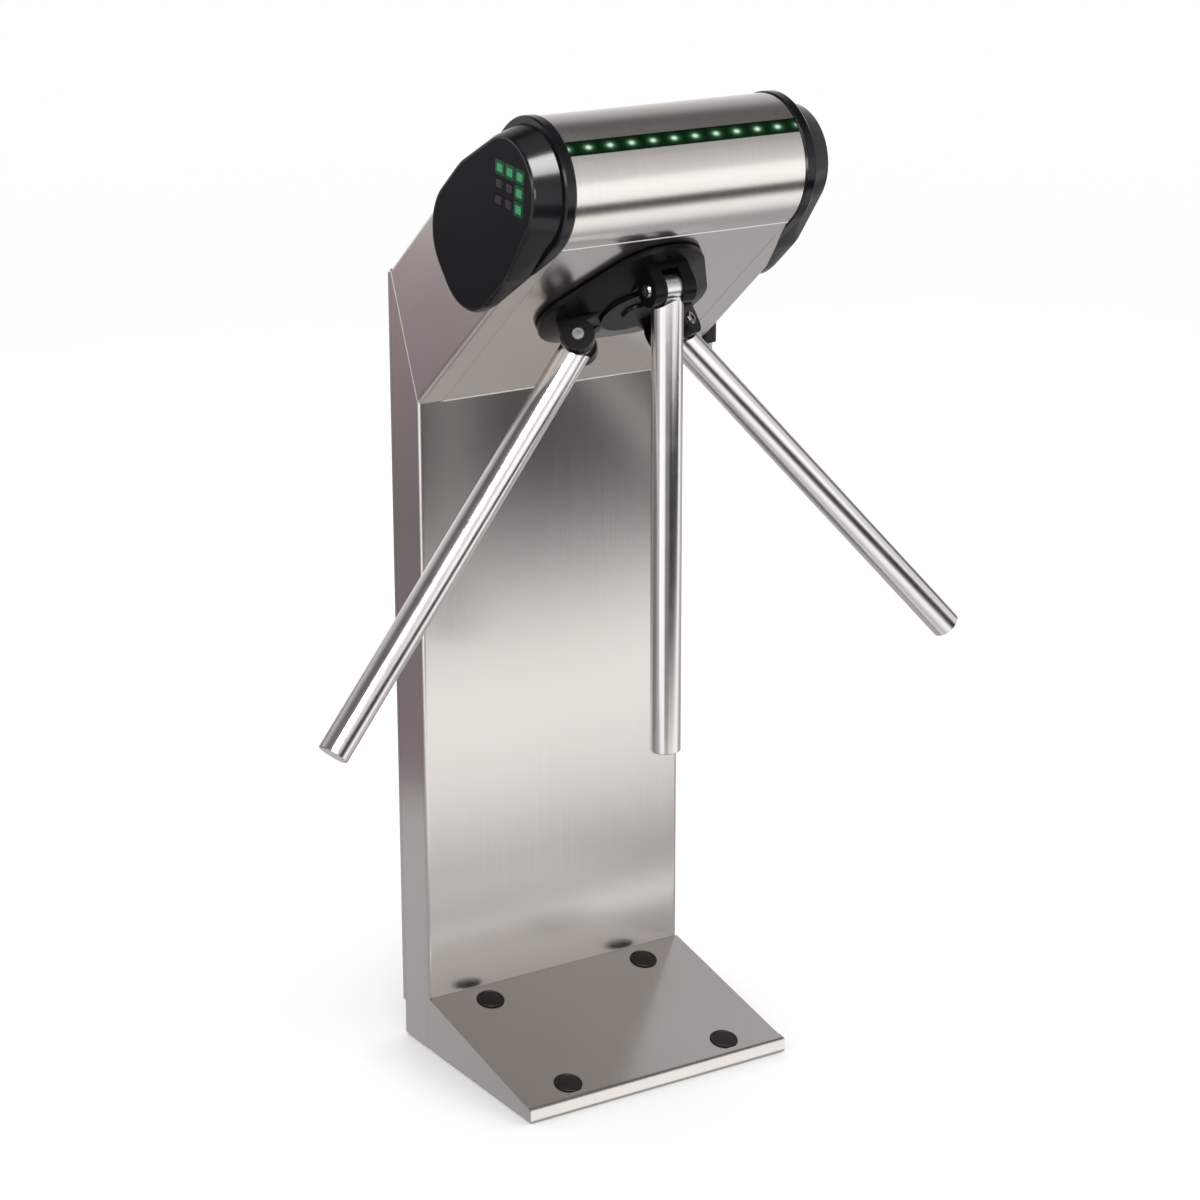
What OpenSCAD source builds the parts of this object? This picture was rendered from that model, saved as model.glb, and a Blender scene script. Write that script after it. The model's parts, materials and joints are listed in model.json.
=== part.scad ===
// Tripod turnstile on a leaning stainless pedestal.
// Lengths are in millimetres and angles in degrees.
// X runs across the column, minus Y is the side the arms face and Z is up.
// The origin lies on the floor, midway between the four anchor holes.

/* [Foot] */
// How far the sloping foot reaches in front of the column
foot_reach = 212; // [190:1:240]
// Height of the foot cover where it meets the column
foot_back_h = 61; // [50:1:75]
// Height of the rolled front edge of the foot cover
foot_front_h = 16; // [14:1:20]
// Thickness of the steel floor plate
plate_t = 8; // [6:1:10]
// Distance between the anchor holes across the column
anchor_gap_x = 200; // [170:1:230]
// Distance between the anchor holes from front to back
anchor_gap_y = 160; // [140:1:170]
// Diameter of an anchor hole
anchor_hole_d = 14; // [12:1:18]
// Diameter of the head of an access plug
plug_d = 31; // [28:1:36]

/* [Column] */
// Width of the column
column_w = 325; // [315:1:345]
// Depth of the column without its rear cover
column_d = 53; // [50:1:60]
// Height of the inside corner where the neck begins
mitre_h = 729; // [650:1:800]
// Thickness of the stainless sheet
sheet_t = 2; // [1.5:0.1:2.5]
// Outside radius of the column's long bends
bend_r = 5; // [4:0.5:7]
// How far the rear cover stands behind the column
rear_cover_d = 5; // [4:0.5:7]
// Height of the lower edge of the rear cover
rear_cover_lift = 40; // [30:1:60]

/* [Neck and head] */
// Rise of the neck above level
neck_angle = 40; // [38:1:42]
// Length of the neck's underside, from the column to the head's axis
neck_len = 312; // [305:1:330]
// Radius of the round head, half the neck's thickness
head_r = 68; // [66:1:74]
// Width of a side cheek's flange beside the wrapped panels
cheek_w = 29.5; // [26:0.5:33]
// Width of the lamp slot along the nose of the head
lamp_slot_h = 16; // [12:1:20]
// Number of lamps in the slot
lamp_count = 10; // [6:1:12]
// Distance from the end lamps to the panel's edges
lamp_margin = 23; // [16:1:40]
// Diameter of a lamp
lamp_d = 6; // [5:0.5:7]

/* [End caps] */
// How far an end cap stands out past the neck's side
cap_out = 10; // [8:0.5:14]
// How far the cap's rim stands proud of the round head
cap_proud = 1.5; // [0.5:0.1:3]
// How far the tail of a cap reaches down the neck from the head's axis
cap_tail = 160; // [150:1:170]
// Distance down the neck at which the cap leaves the cheek's edge
cap_seam_end = 112; // [90:1:125]
// Width of one display square
dot_w = 12.5; // [9:0.5:14]
// Height of one display square
dot_h = 10; // [8:0.5:12]
// Distance between display squares along a row
dot_pitch_x = 18.5; // [16:0.5:20]
// Distance between the rows of display squares
dot_pitch_y = 16; // [14:0.5:18]

/* [Tripod] */
// Distance of the hub's axis down the neck from the head's axis
hub_along = 118; // [114:1:124]
// Depth below the neck's skin at which the arms' lines meet
apex_depth = 22.5; // [20:0.5:25]
// Distance of an arm's hinge pin from that meeting point
pivot_r = 84; // [81:1:88]
// Length of an arm from its hinge pin to its tip
arm_len = 485; // [400:1:495]
// Outside diameter of an arm tube
arm_d = 32; // [30:0.5:34]
// Wall of an arm tube
arm_wall = 1.5; // [1.2:0.1:2]
// Thickness of one clevis ear
ear_t = 14; // [12:0.5:16]
// Radius of a clevis ear around its pin
ear_r = 16.5; // [15.5:0.5:18]
// Thickness of the tongue that turns between two ears
tongue_w = 19.4; // [17:0.1:20]
// Diameter of a hinge pin
pin_d = 10; // [8:0.5:11]
// Diameter of the main shaft
shaft_d = 30; // [25:1:32]

/* [Hidden] */
// Clearances, used wherever two pieces meet
seam_gap = 0.3;
run_gap = 0.05;
cut_over = 1;
$fn = 96;
// Facets of the rounded cap and hub forms
soft_fn = 72;

// Foot values
skirt_gap = 2;
plug_hole_d = 27;
plug_head_t = 2;
plug_skirt_h = 9;
plug_wall = 2.5;
cable_hole_d = 40;
plate_setback = 18;

// Column values
lip_w = 18;
post_inset = 28;
post_w = 40;
post_d = 36;
post_wall = 2.5;
post_above = 60;
rail_past = 18;

// Neck values
cheek_bend_r = 5;
rail_w = 20;
rail_inset = 1;
rail_h = 40;
rail_start = 34;
bulkhead_t = 3;
bulkhead_back = 26;
lamp_depth = 6;
lamp_board_t = 1.6;
lamp_board_gap = 2;

// Cap values, as shares of the cap's depth, of its rim radius and of its tail.
// The ring follows the round head, and a smaller body stands on it.
ring_depth_shares = [0, 0.05, 0.27, 0.32];
ring_size_shares = [0.98, 1, 1, 0.98];
ring_tail_shares = [0.94, 0.945, 0.95, 0.95];
body_depth_shares = [0.29, 0.36, 0.5, 0.72, 0.92, 1];
body_front_shares = [0.9, 0.87, 0.845, 0.815, 0.785, 0.75];
body_side_shares = [0.985, 0.995, 1, 1, 0.99, 0.97];
body_tail_shares = [0.95, 0.96, 0.97, 0.985, 1, 0.985];
cap_belly_share = 0.38;
cap_tail_share = 0.82;
cap_seam_start = 8;
cap_pocket_r = 46;
face_t = 2;
face_rim = 2.2;
face_wall = 4;
dot_t = 1.2;
dot_proud = 0.3;
dots_y = -9;
dots_z = -3;
dots_angle = 6;
display_board_t = 1.6;
display_board_r = 43;

// Tripod values
rim_lobe = 40;
rim_lobe_r = 60;
rim_lift = 2;
rim_t = 5.5;
crown_lobe = 36;
crown_lobe_r = 20;
crown_h = 17.7;
boss_r = 38;
boss_h = 21.7;
ear_root_in = 30;
ear_root_out = 80;
ear_flare_angle = 10;
mouth_gap = 2;
tongue_r = 13;
tongue_neck = 21;
root_start = 22;
root_len = 44;
tip_t = 3;
tip_edge = 1;
pin_head_d = 14;
pin_head_t = 2;
pin_socket_d = 6;
centre_cap_d = 34;
centre_cap_t = 3;

// Mechanism values
hub_hole_d = 92;
hub_flange_d = 80;
hub_flange_t = 9.7;
mech_plate_t = 8;
mech_plate_gap = 1;
mech_plate_up = 104;
mech_plate_down = 112;
housing_d = 80;
housing_flange_d = 126;
housing_flange_t = 8;
housing_len = 52;
bearing_d = 62;
bearing_t = 16;
bearing_groove = 2;
bearing_race = 6;
bearing_inset = 2;
disc_r = 60;
disc_t = 8;
disc_drop = 6;
valley_r = 16;
roller_r = 10;
roller_gap = 1;
lever_t = 6;
lever_w = 18;
lever_angle = 52;
lever_reach = 62;
stud_d = 12;
encoder_r = 44;
encoder_t = 2;
encoder_drop = 12;
encoder_slots = 36;
encoder_slot_w = 3;
encoder_slot_len = 9;
standoff_r = 70;
standoff_d = 12;
standoff_angles = [15, 105, 195, 270];
bridge_t = 5;
bridge_drop = 20;
damper_d = 62;
damper_t = 30;
shaft_tail = 12;
pawl_t = 8;
pawl_len = 34;
pawl_w = 14;
pawl_angle = 62;
pawl_gap = 1.5;
coil_w = 32;
coil_l = 36;
coil_h = 40;
plunger_d = 10;

// Control board values
board_side_gap = 17;
board_h = 190;
board_t = 1.6;
board_lift = 430;
board_spacer_d = 8;
board_spacer_h = 8;
board_inset = 8;
relay_w = 28;
relay_h = 20;
relay_t = 12;

// Release lock values
lock_d = 20;
lock_h = 26;
lock_out = 7.5;
lock_up = 33;
barrel_d = 12;
barrel_h = 13;
barrel_in = 12;
keyway_w = 1.6;
keyway_l = 7;
keyway_deep = 8;

// Places worked out from the sizes above
column_y = foot_reach / 2;
column_back_y = column_y + column_d;
corner_rise = (2 * head_r - column_d * sin(neck_angle)) / cos(neck_angle);
corner_h = mitre_h + corner_rise;
mitre_tilt = atan2(corner_rise, column_d);
head_y = column_y - neck_len * cos(neck_angle) + head_r * sin(neck_angle);
head_z = mitre_h + neck_len * sin(neck_angle) + head_r * cos(neck_angle);
cut_span = 2 * column_w;
panel_w = column_w - 2 * cheek_w;
cheek_x = panel_w / 2 + seam_gap;
lamp_pitch = (panel_w - 2 * lamp_margin) / (lamp_count - 1);
mech_plate_x = panel_w - 4 * bulkhead_t - 2 * mech_plate_gap;
rail_x = mech_plate_x / 2 - rail_inset - rail_w;
post_x = column_w / 2 - sheet_t - post_inset - post_w / 2;
board_w = 2 * post_x - post_w - 2 * board_side_gap;
cone_angle = 90 - neck_angle;
pivot_y = pivot_r * sin(cone_angle);
pivot_z = pivot_r * cos(cone_angle);
mouth_r = ear_r + mouth_gap;
ear_gap = tongue_w + 2 * seam_gap;
ear_out = ear_gap / 2 + ear_t;
root_d = arm_d - 2 * arm_wall - 2 * run_gap;
nose_r = (foot_front_h - skirt_gap) / 2;
nose_y = -foot_reach / 2 + nose_r;
nose_z = skirt_gap + nose_r;
foot_slope = atan2(foot_back_h - foot_front_h, foot_reach - nose_r);
skin_z = apex_depth;
plate_face_z = skin_z - sheet_t - mech_plate_t;
housing_end_z = plate_face_z - housing_len;
disc_top_z = housing_end_z - disc_drop;
disc_end_z = disc_top_z - disc_t;
lever_z = disc_end_z - seam_gap - lever_t;
encoder_z = disc_end_z - encoder_drop;
bridge_z = disc_end_z - bridge_drop;
roller_ring = disc_r + roller_gap + roller_r;
cap_depth = column_w / 2 + cap_out - cheek_x;
cap_r = head_r + cap_proud;
cap_face_x = column_w / 2 + cap_out;
lock_x = column_w / 2 + lock_out;
lock_z = mitre_h + lock_up;
lock_y = column_y - lock_up / tan(neck_angle);
drop_angle = 90;
left_angle = 210;
right_angle = 330;
arm_angles = [drop_angle, left_angle, right_angle];
SIDES = [-1, 1];

// One piece by name, or all of them

// Frames that the neck's and hub's pieces are drawn in

// Along the neck: Y runs down the neck from the head's axis and Z is square to it
module in_neck() {
    translate([0, head_y, head_z])
        rotate([-neck_angle, 0, 0])
            children();
}

// On the hub's axis: Z points out of the neck and Y up the neck
module in_hub() {
    in_neck()
        translate([0, hub_along, apex_depth - head_r])
            rotate([180, 0, 0])
                children();
}

// At one arm's hinge pin: X along the pin and Z along the arm
module at_arm(place, drop) {
    in_hub()
        rotate([0, 0, place - drop_angle])
            translate([0, pivot_y, pivot_z])
                rotate([drop - cone_angle, 0, 0])
                    children();
}

// An outline drawn in Y and Z, given a width along X
module across(from_x, width) {
    translate([from_x, 0, 0])
        rotate([90, 0, 90])
            linear_extrude(width)
                children();
}

// The same piece on both sides
module both_sides() {
    children();
    mirror([1, 0, 0])
        children();
}

// Everything above, or below, the cut where the neck meets the column
module mitre_block(above) {
    translate([0, column_y, mitre_h])
        rotate([mitre_tilt, 0, 0])
            translate([-cut_span / 2, -cut_span / 2, above ? -seam_gap / 2 : seam_gap / 2 - cut_span])
                cube(cut_span);
}

// Foot

function foot_z(y) = foot_back_h - (column_y - y) * tan(foot_slope);

module foot_outline(inset, over) {
    end_y = column_y - seam_gap + over;
    drop = inset / cos(foot_slope);
    roll_r = nose_r - inset;
    polygon([
        [end_y, skirt_gap - over],
        [end_y, foot_z(end_y) - drop],
        [nose_y - roll_r * sin(foot_slope), nose_z + roll_r * cos(foot_slope)],
        [nose_y, nose_z],
        [nose_y, skirt_gap - over]
    ]);
    translate([nose_y, nose_z])
        circle(roll_r);
}

module at_plugs() {
    for (sx = SIDES, sy = SIDES)
        translate([sx * anchor_gap_x / 2, sy * anchor_gap_y / 2, foot_z(sy * anchor_gap_y / 2)])
            rotate([foot_slope, 0, 0])
                children();
}

module base_plate() {
    plate_w = column_w - 2 * sheet_t - 2 * seam_gap;
    front_y = -foot_reach / 2 + plate_setback;
    back_y = column_back_y - sheet_t - seam_gap;
    color("dimgray")
        difference() {
            translate([-plate_w / 2, front_y, 0])
                cube([plate_w, back_y - front_y, plate_t]);
            for (sx = SIDES, sy = SIDES)
                translate([sx * anchor_gap_x / 2, sy * anchor_gap_y / 2, -cut_over])
                    cylinder(d = anchor_hole_d, h = plate_t + 2 * cut_over);
            translate([0, (column_y + column_back_y) / 2, -cut_over])
                cylinder(d = cable_hole_d, h = plate_t + 2 * cut_over);
        }
}

module foot_cover() {
    color("silver")
        difference() {
            across(-column_w / 2, column_w)
                foot_outline(0, 0);
            across(-column_w / 2 + sheet_t, column_w - 2 * sheet_t)
                foot_outline(sheet_t, cut_over);
            at_plugs()
                translate([0, 0, -2 * sheet_t])
                    cylinder(d = plug_hole_d, h = 4 * sheet_t);
        }
}

module foot_plugs() {
    skirt_d = plug_hole_d - 2 * seam_gap;
    color("black")
        at_plugs()
            difference() {
                union() {
                    translate([0, 0, seam_gap / 2])
                        cylinder(d1 = plug_d, d2 = plug_d - plug_head_t, h = plug_head_t);
                    translate([0, 0, -plug_skirt_h])
                        cylinder(d = skirt_d, h = plug_skirt_h + plug_head_t / 2);
                }
                translate([0, 0, -plug_skirt_h - cut_over])
                    cylinder(d = skirt_d - 2 * plug_wall, h = plug_skirt_h + cut_over);
            }
}

// Column

// A bar with its two corners on the low side rounded, centred on X
module bent_front(width, depth, radius) {
    translate([-width / 2, radius])
        square([width, depth - radius]);
    translate([radius - width / 2, 0])
        square([width - 2 * radius, depth]);
    for (side = SIDES)
        translate([side * (width / 2 - radius), radius])
            circle(radius);
}

module column_plan() {
    translate([0, column_y])
        difference() {
            bent_front(column_w, column_d, bend_r);
            translate([0, sheet_t])
                bent_front(column_w - 2 * sheet_t, column_d - 2 * sheet_t, bend_r - sheet_t);
            translate([lip_w - column_w / 2, column_d / 2])
                square([column_w - 2 * lip_w, column_d]);
        }
}

module column_shell() {
    color("lightgray")
        difference() {
            translate([0, 0, skirt_gap])
                linear_extrude(corner_h)
                    column_plan();
            mitre_block(true);
            translate([sheet_t - column_w / 2, 0, -cut_over])
                cube([column_w - 2 * sheet_t, 2 * column_back_y, plate_t + seam_gap + cut_over]);
        }
}

module rear_cover() {
    top_h = corner_h - rear_cover_d * tan(neck_angle) - rear_cover_lift;
    color("gainsboro")
        translate([-column_w / 2, column_back_y + seam_gap, rear_cover_lift])
            difference() {
                cube([column_w, rear_cover_d - seam_gap, top_h]);
                translate([sheet_t, -sheet_t, sheet_t])
                    cube([column_w - 2 * sheet_t, rear_cover_d - seam_gap, top_h - 2 * sheet_t]);
            }
}

module square_tube(width, depth, length, wall) {
    difference() {
        cube([width, depth, length]);
        translate([wall, wall, -cut_over])
            cube([width - 2 * wall, depth - 2 * wall, length + 2 * cut_over]);
    }
}

// Two posts welded to the floor plate, with two rails that carry the neck
module inner_frame() {
    post_y = column_y + (column_d - post_d) / 2;
    rail_z = sheet_t + mech_plate_t - head_r;
    color("slategray")
        both_sides() {
            translate([post_x - post_w / 2, post_y, plate_t])
                square_tube(post_w, post_d, mitre_h + post_above - plate_t, post_wall);
            in_neck()
                translate([rail_x, rail_start, rail_z + rail_h])
                    rotate([-90, 0, 0])
                        square_tube(rail_w, rail_h, neck_len + rail_past - rail_start, post_wall);
        }
}

// Neck and head

// The part of the neck on the column side of a cap's slanted edge, over its full width
module past_seam(shift, half_w) {
    in_y = cap_seam_start + shift;
    out_y = cap_seam_end + shift;
    slope = (out_y - in_y) / (column_w / 2 - cheek_x);
    translate([0, 0, -cut_span / 2])
        linear_extrude(cut_span)
            polygon([
                [0, in_y],
                [cheek_x, in_y],
                [half_w, in_y + slope * (half_w - cheek_x)],
                [half_w, cut_span],
                [0, cut_span]
            ]);
}

// One side cheek: a channel whose flanges lie level with the wrapped panels
module cheek() {
    half_w = column_w / 2;
    difference() {
        in_neck()
            intersection() {
                rotate([-90, 0, 0])
                    linear_extrude(neck_len + column_d)
                        difference() {
                            rotate([0, 0, 90])
                                translate([0, -half_w])
                                    bent_front(2 * head_r, half_w - cheek_x, cheek_bend_r);
                            rotate([0, 0, 90])
                                translate([0, sheet_t - half_w])
                                    bent_front(2 * head_r - 2 * sheet_t, half_w,
                                               cheek_bend_r - sheet_t);
                        }
                past_seam(seam_gap, half_w + cut_over);
            }
        mitre_block(false);
    }
}

module cheek_right() {
    color("lightgray")
        cheek();
}

module cheek_left() {
    color("lightgray")
        mirror([1, 0, 0])
            cheek();
}

// The outline of the head and neck, as long as asked
module head_outline(radius, length) {
    circle(radius);
    translate([0, -radius])
        square([length, 2 * radius]);
}

// A sheet wrapped over the top, or under the bottom, of the head
module wrapped_panel(side) {
    across(-panel_w / 2, panel_w)
        intersection() {
            difference() {
                head_outline(head_r, neck_len + column_d);
                head_outline(head_r - sheet_t, neck_len + 2 * column_d);
            }
            translate([-2 * head_r, side > 0 ? lamp_slot_h / 2 : -2 * head_r - lamp_slot_h / 2])
                square([2 * neck_len + column_d, 2 * head_r]);
        }
}

module head_top_panel() {
    color("silver")
        difference() {
            in_neck()
                wrapped_panel(1);
            mitre_block(false);
        }
}

module head_under_panel() {
    color("silver")
        difference() {
            in_neck()
                wrapped_panel(-1);
            mitre_block(false);
            in_hub()
                translate([0, 0, skin_z - 2 * sheet_t])
                    cylinder(d = hub_hole_d, h = 4 * sheet_t);
        }
}

module head_bulkheads() {
    color("slategray")
        in_neck()
            both_sides()
                across(panel_w / 2 - 2 * bulkhead_t, bulkhead_t)
                    difference() {
                        head_outline(head_r - sheet_t - seam_gap, bulkhead_back);
                        translate([-head_r, -lamp_slot_h / 2 - seam_gap])
                            square([sheet_t + lamp_depth + seam_gap,
                                    lamp_slot_h + 2 * seam_gap]);
                    }
}

module at_lamps() {
    for (i = [0 : lamp_count - 1])
        translate([(i - (lamp_count - 1) / 2) * lamp_pitch, -head_r, 0])
            rotate([-90, 0, 0])
                children();
}

module lamp_window() {
    window_w = panel_w - 2 * seam_gap;
    window_h = lamp_slot_h - 2 * seam_gap;
    color("darkgreen")
        in_neck()
            difference() {
                across(-window_w / 2, window_w)
                    intersection() {
                        circle(head_r - seam_gap);
                        translate([-head_r, -window_h / 2])
                            square([lamp_depth, window_h]);
                    }
                at_lamps()
                    translate([0, 0, -cut_over])
                        cylinder(d = lamp_d + 2 * run_gap, h = lamp_depth + 2 * cut_over);
            }
}

module lamps() {
    color("lime")
        in_neck()
            at_lamps()
                translate([0, 0, seam_gap])
                    cylinder(d = lamp_d, h = lamp_depth + lamp_board_gap - 2 * seam_gap);
}

module lamp_board() {
    board_len = panel_w - 6 * bulkhead_t;
    color("green")
        in_neck()
            translate([-board_len / 2, lamp_depth + lamp_board_gap - head_r, -lamp_slot_h / 2])
                cube([board_len, lamp_board_t, lamp_slot_h]);
}

// End caps

// One slice of the cap's rounded form: a front circle, a belly and a tail
module cap_slice(from_x, thick, front, side, tail) {
    belly_y = cap_belly_share * cap_tail;
    tail_r = cap_tail_share * side;
    front_r = min(front, side);
    translate([from_x, front_r - front, 0])
        rotate([0, 90, 0])
            cylinder(r = front_r, h = thick, $fn = soft_fn);
    translate([from_x, belly_y, 0])
        rotate([0, 90, 0])
            cylinder(r = side - cap_proud, h = thick, $fn = soft_fn);
    for (half = SIDES)
        translate([from_x, tail - tail_r, half * (side - cap_proud - tail_r)])
            rotate([0, 90, 0])
                cylinder(r = tail_r, h = thick, $fn = soft_fn);
}

module face_form(from_x, thick, inset) {
    last = len(body_depth_shares) - 1;
    hull()
        cap_slice(from_x, thick, body_front_shares[last] * cap_r - inset,
                  body_side_shares[last] * cap_r - inset, body_tail_shares[last] * cap_tail - inset);
}

// A form drawn through slices, each given by its shares
module cap_hull(depths, fronts, sides, tails) {
    slice_t = run_gap;
    hull()
        for (i = [0 : len(depths) - 1])
            cap_slice(cheek_x + depths[i] * (cap_depth - slice_t), slice_t,
                      fronts[i] * cap_r, sides[i] * cap_r, tails[i] * cap_tail);
}

module cap() {
    pocket_x = cap_face_x - face_t - face_wall;
    half_w = column_w / 2 + seam_gap;
    in_neck()
        difference() {
            union() {
                cap_hull(ring_depth_shares, ring_size_shares, ring_size_shares, ring_tail_shares);
                cap_hull(body_depth_shares, body_front_shares, body_side_shares, body_tail_shares);
            }
            past_seam(0, half_w);
            translate([cheek_x - cut_over, 0, 0])
                rotate([0, 90, 0])
                    cylinder(r = cap_pocket_r, h = pocket_x - cheek_x + cut_over);
            face_form(cap_face_x - face_t, face_t + cut_over, face_rim);
        }
}

module cap_right() {
    color("black")
        cap();
}

module cap_left() {
    color("black")
        mirror([1, 0, 0])
            cap();
}

// The three by three squares of one display, on the face of the right cap
module at_dots() {
    for (col = [-1 : 1], row = [-1 : 1])
        translate([cap_face_x, dots_y, dots_z])
            rotate([neck_angle + dots_angle, 0, 0])
                translate([0, col * dot_pitch_x, row * dot_pitch_y])
                    children();
}

module face() {
    in_neck()
        difference() {
            face_form(cap_face_x - face_t + seam_gap, face_t - seam_gap, face_rim + seam_gap);
            at_dots()
                translate([-dot_t / 2, 0, 0])
                    cube([dot_t + 2 * seam_gap, dot_w + 2 * seam_gap, dot_h + 2 * seam_gap],
                         center = true);
        }
}

module face_right() {
    color("dimgray")
        face();
}

module face_left() {
    color("dimgray")
        mirror([1, 0, 0])
            face();
}

module display_dots() {
    in_neck()
        at_dots()
            translate([(dot_proud - dot_t) / 2, 0, 0])
                cube([dot_t - dot_proud, dot_w, dot_h], center = true);
}

module display_dots_right() {
    color("lime")
        display_dots();
}

module display_dots_left() {
    color("lime")
        mirror([1, 0, 0])
            display_dots();
}

module display_boards() {
    pocket_x = cap_face_x - face_t - face_wall;
    color("green")
        in_neck()
            both_sides()
                translate([pocket_x - seam_gap - display_board_t, 0, 0])
                    rotate([0, 90, 0])
                        cylinder(r = display_board_r, h = display_board_t);
}

// Release lock on the right cheek

module lock_body() {
    pad_x = column_w / 2 + seam_gap;
    color("black")
        difference() {
            union() {
                translate([lock_x, lock_y, lock_z])
                    cylinder(d = lock_d, h = lock_h);
                translate([pad_x, lock_y - lock_d / 2, lock_z])
                    cube([lock_x - pad_x, lock_d, lock_h]);
            }
            translate([lock_x, lock_y, lock_z - cut_over])
                cylinder(d = barrel_d + 2 * run_gap, h = barrel_in + cut_over);
            translate([pad_x - lock_d, lock_y - lock_d, lock_z - cut_over])
                cube([lock_d, 2 * lock_d, lock_h + 2 * cut_over]);
        }
}

module lock_barrel() {
    color("silver")
        difference() {
            translate([lock_x, lock_y, lock_z - barrel_h])
                cylinder(d = barrel_d, h = barrel_h + barrel_in - seam_gap);
            translate([lock_x - keyway_w / 2, lock_y - keyway_l / 2, lock_z - barrel_h - cut_over])
                cube([keyway_w, keyway_l, keyway_deep + cut_over]);
        }
}

// Mechanism inside the neck

module mechanism_plate() {
    color("slategray")
        in_hub()
            difference() {
                translate([-mech_plate_x / 2, -mech_plate_down, plate_face_z])
                    cube([mech_plate_x, mech_plate_up + mech_plate_down, mech_plate_t]);
                translate([0, 0, plate_face_z - cut_over])
                    cylinder(d = hub_hole_d, h = mech_plate_t + 2 * cut_over);
            }
}

module bearing_housing() {
    color("darkgray")
        in_hub()
            difference() {
                union() {
                    translate([0, 0, plate_face_z - housing_flange_t])
                        cylinder(d = housing_flange_d, h = housing_flange_t);
                    translate([0, 0, housing_end_z])
                        cylinder(d = housing_d, h = housing_len);
                }
                translate([0, 0, housing_end_z - cut_over])
                    cylinder(d = bearing_d, h = housing_len + 2 * cut_over);
            }
}

module bearing() {
    outer_r = bearing_d / 2 - run_gap;
    inner_r = shaft_d / 2 + run_gap;
    rotate_extrude()
        difference() {
            translate([inner_r, 0])
                square([outer_r - inner_r, bearing_t]);
            for (level = [-bearing_groove, bearing_t - bearing_groove])
                translate([inner_r + bearing_race, level])
                    square([outer_r - inner_r - 2 * bearing_race, 2 * bearing_groove]);
        }
}

module bearings() {
    color("lightgray")
        in_hub()
            for (level = [plate_face_z - bearing_inset - bearing_t, housing_end_z + bearing_inset])
                translate([0, 0, level])
                    bearing();
}

module at_standoffs() {
    for (turn = standoff_angles)
        rotate([0, 0, turn])
            translate([standoff_r, 0, 0])
                children();
}

// Four posts that carry the bridge plate, and the post that the detent lever turns on
module standoffs() {
    color("gray")
        in_hub() {
            at_standoffs()
                translate([0, 0, bridge_z])
                    cylinder(d = standoff_d, h = plate_face_z - bridge_z);
            rotate([0, 0, lever_angle])
                translate([roller_ring, lever_reach, lever_z])
                    cylinder(d = stud_d - 2 * run_gap, h = plate_face_z - lever_z);
        }
}

module bridge_plate() {
    color("slategray")
        in_hub()
            translate([0, 0, bridge_z - bridge_t])
                difference() {
                    cylinder(r = standoff_r + standoff_d / 2, h = bridge_t);
                    translate([0, 0, -cut_over])
                        cylinder(d = shaft_d + 2 * cut_over, h = bridge_t + 2 * cut_over);
                }
}

module damper() {
    color("black")
        in_hub()
            translate([0, 0, bridge_z - bridge_t - damper_t])
                difference() {
                    cylinder(d = damper_d, h = damper_t);
                    translate([0, 0, damper_t - shaft_tail])
                        cylinder(d = shaft_d / 2 + 2 * run_gap, h = shaft_tail + cut_over);
                }
}

// The detent is drawn with its roller lifted clear of the disc's lobes
module detent_lever() {
    color("goldenrod")
        in_hub()
            rotate([0, 0, lever_angle])
                difference() {
                    union() {
                        translate([roller_ring, 0, lever_z])
                            cylinder(d = lever_w, h = lever_t);
                        translate([roller_ring - lever_w / 2, 0, lever_z])
                            cube([lever_w, lever_reach, lever_t]);
                        translate([roller_ring, lever_reach, lever_z])
                            cylinder(d = lever_w, h = lever_t);
                    }
                    for (along = [0, lever_reach])
                        translate([roller_ring, along, lever_z - cut_over])
                            cylinder(d = stud_d, h = lever_t + 2 * cut_over);
                }
}

module detent_roller() {
    color("silver")
        in_hub()
            rotate([0, 0, lever_angle])
                translate([roller_ring, 0, 0]) {
                    translate([0, 0, disc_end_z])
                        cylinder(r = roller_r, h = disc_t);
                    translate([0, 0, lever_z])
                        cylinder(d = stud_d - 2 * run_gap, h = disc_t + lever_t);
                }
}

module lock_pawls() {
    pawl_y = disc_r + pawl_gap;
    color("goldenrod")
        in_hub()
            both_sides()
                rotate([0, 0, -90 - pawl_angle / 2])
                    translate([pawl_y, 0, disc_end_z])
                        difference() {
                            union() {
                                translate([0, -pawl_w / 2, 0])
                                    cube([pawl_len, pawl_w, pawl_t]);
                                translate([pawl_len, 0, 0])
                                    cylinder(d = pawl_w, h = pawl_t);
                            }
                            translate([pawl_len, 0, -cut_over])
                                cylinder(d = plunger_d + 2 * run_gap, h = pawl_t + 2 * cut_over);
                        }
}

module lock_coils() {
    pawl_at = disc_r + pawl_gap + pawl_len;
    color("firebrick")
        in_hub()
            both_sides()
                rotate([0, 0, -90 - pawl_angle / 2])
                    translate([pawl_at, 0, 0]) {
                        translate([-coil_w / 2, -coil_l / 2, plate_face_z - coil_h])
                            cube([coil_w, coil_l, coil_h]);
                        translate([0, 0, disc_end_z])
                            cylinder(d = plunger_d, h = plate_face_z - disc_end_z);
                    }
}

// Control board behind the column's front

module at_board_corners() {
    for (sx = SIDES, sz = SIDES)
        translate([sx * (board_w / 2 - board_inset), column_y + sheet_t,
                   board_lift + sz * (board_h / 2 - board_inset)])
            rotate([-90, 0, 0])
                children();
}

module control_board() {
    board_y = column_y + sheet_t + board_spacer_h;
    color("green") {
        translate([-board_w / 2, board_y, board_lift - board_h / 2])
            cube([board_w, board_t, board_h]);
        for (i = [-1 : 1])
            translate([i * 1.4 * relay_w - relay_w / 2, board_y + board_t, board_lift + relay_h])
                cube([relay_w, relay_t, relay_h]);
    }
}

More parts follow.
